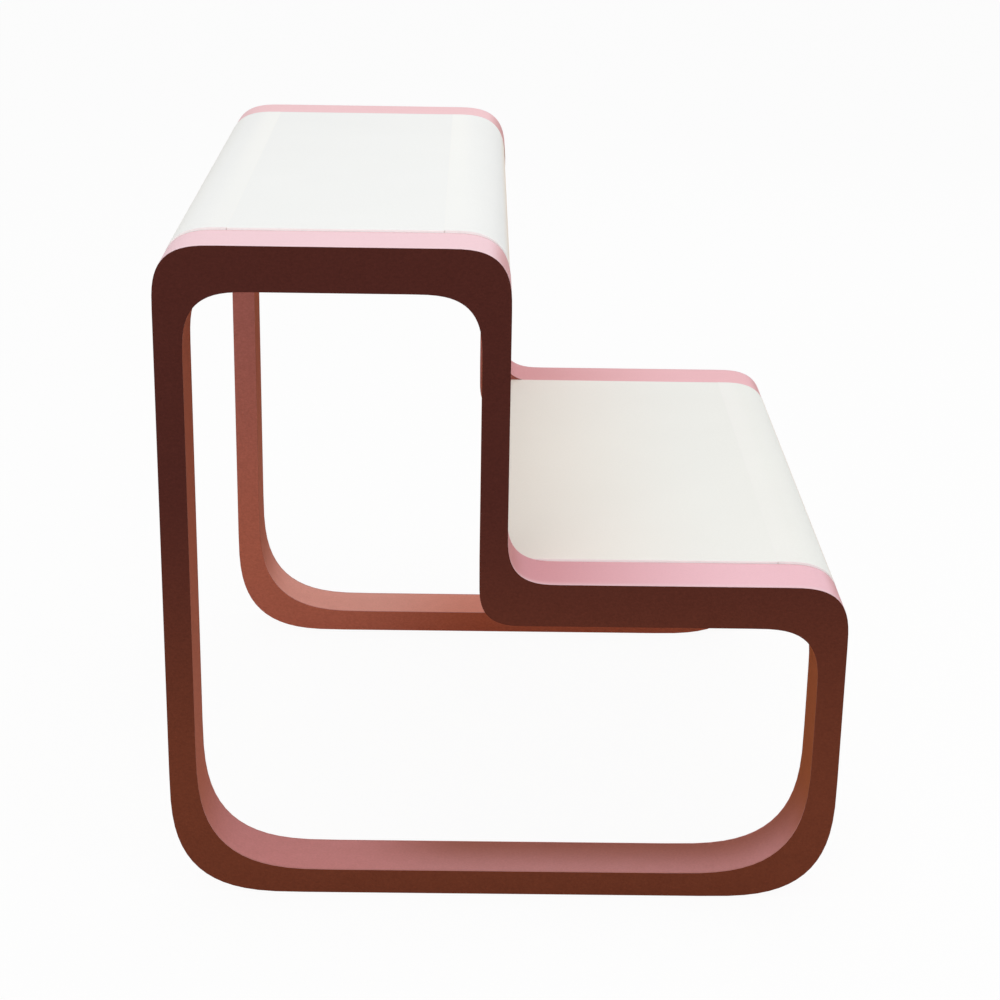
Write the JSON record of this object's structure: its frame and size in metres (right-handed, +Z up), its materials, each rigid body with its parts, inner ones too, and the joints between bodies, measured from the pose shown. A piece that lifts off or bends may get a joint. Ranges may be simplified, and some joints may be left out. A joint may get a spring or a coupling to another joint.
{
  "type": "two-tier display stand",
  "caption": "Stepped shop display stand: matching loop-shaped side frames with soft corners carry a white upper and lower deck that bend down at their free ends.",
  "frame": {"origin": "on the floor, under the middle of the stand's bounding box", "axes": "+X along the steps from the upper tier to the lower tier, +Y from the near frame to the far frame, +Z up"},
  "size_m": [0.795, 0.88, 0.803],
  "materials": {
    "outer_face": "dark maroon laminate with a fine leather grain",
    "inner_face": "terracotta laminate with a fine leather grain",
    "edge_band": "pale pink satin edge band",
    "opening_lining": "dusty rose satin edge band",
    "deck": "white satin lacquer",
    "core": "raw fibreboard",
    "rail": "planed softwood",
    "dowel": "fluted beech",
    "glide": "grey felt"
  },
  "bodies": {
    "root": {"near_outer_face": "outer_face", "far_outer_face": "outer_face", "near_inner_face": "inner_face", "far_inner_face": "inner_face", "near_edge_band": "edge_band", "far_edge_band": "edge_band", "near_opening_lining": "opening_lining", "far_opening_lining": "opening_lining", "near_left_post": "core", "near_top_rail": "core", "near_riser_post": "core", "near_lower_rail": "core", "near_right_post": "core", "near_bottom_rail": "core", "near_bottom_left_corner": "core", "near_top_left_corner": "core", "near_top_right_corner": "core", "near_riser_corner": "core", "near_lower_right_corner": "core", "near_bottom_right_corner": "core", "far_left_post": "core", "far_top_rail": "core", "far_riser_post": "core", "far_lower_rail": "core", "far_right_post": "core", "far_bottom_rail": "core", "far_bottom_left_corner": "core", "far_top_left_corner": "core", "far_top_right_corner": "core", "far_riser_corner": "core", "far_lower_right_corner": "core", "far_bottom_right_corner": "core", "upper_deck_board": "deck", "upper_left_bend": "deck", "upper_right_bend": "deck", "lower_deck_board": "deck", "lower_right_bend": "deck", "upper_left_cross_rail": "rail", "upper_right_cross_rail": "rail", "lower_left_cross_rail": "rail", "lower_right_cross_rail": "rail", "near_upper_cleat": "rail", "near_lower_cleat": "rail", "far_upper_cleat": "rail", "far_lower_cleat": "rail", "near_upper_left_dowel": "dowel", "near_upper_right_dowel": "dowel", "near_lower_left_dowel": "dowel", "near_lower_right_dowel": "dowel", "far_upper_left_dowel": "dowel", "far_upper_right_dowel": "dowel", "far_lower_left_dowel": "dowel", "far_lower_right_dowel": "dowel", "near_left_glide": "glide", "near_right_glide": "glide", "far_left_glide": "glide", "far_right_glide": "glide"}
  },
  "joints": []
}
